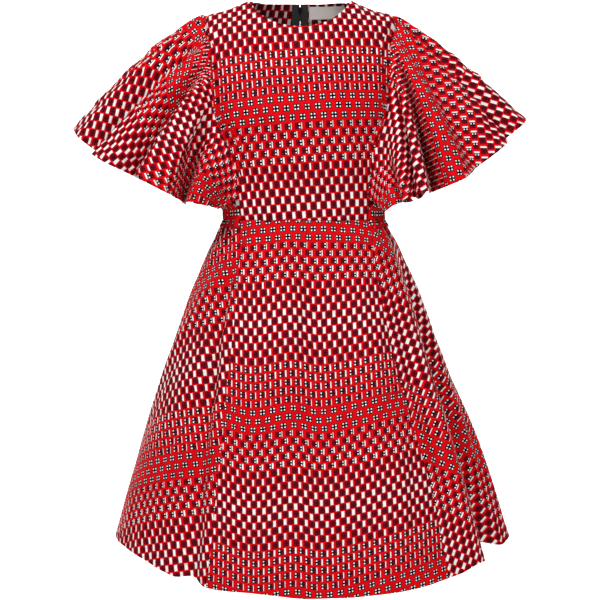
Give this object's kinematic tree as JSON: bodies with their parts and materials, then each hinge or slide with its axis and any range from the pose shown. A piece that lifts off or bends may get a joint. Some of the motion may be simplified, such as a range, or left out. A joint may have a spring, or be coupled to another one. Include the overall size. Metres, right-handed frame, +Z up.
{
  "type": "wax print dress",
  "caption": "Knee-length wax print dress with a round neck, deep flounce sleeves, a fitted bodice, a side-gathered waist, a flared gored skirt and a zip up the back.",
  "frame": {"origin": "midway between the tops of the two shoulder seams at the neck, where the wearer's shoulders hold the dress", "axes": "+Z up, the front faces -Y, and +X is to the right of a viewer who faces the front"},
  "size_m": [0.798, 0.5021, 0.9973],
  "materials": {
    "cotton": "plain-woven cotton printed with a red, near-black and white graded check",
    "tape": "matt woven tape",
    "nylon": "satin black",
    "satin": "soft woven satin"
  },
  "bodies": {
    "dress": {"bodice_front": "cotton", "bodice_back_left": "cotton", "bodice_back_right": "cotton", "bodice_side_left": "cotton", "bodice_side_right": "cotton", "skirt_front": "cotton", "skirt_side_left": "cotton", "skirt_side_right": "cotton", "skirt_back_left": "cotton", "skirt_back_right": "cotton", "waist_casing_left": "cotton", "waist_casing_right": "cotton", "sleeve_left": "cotton", "sleeve_right": "cotton", "zip_tape_left": "tape", "zip_tape_right": "tape", "zip_coil": "nylon", "zip_slider": "nylon", "neck_label": "satin"},
    "zip_pull": {"zip_pull": "nylon"}
  },
  "joints": [
    {"name": "pull_tab_hinge", "type": "hinge", "parent": "dress", "child": "zip_pull", "pos_m": [0, 0.07101, -0.0072], "axis": [1, 0, 0], "range_deg": [0, 150]}
  ]
}
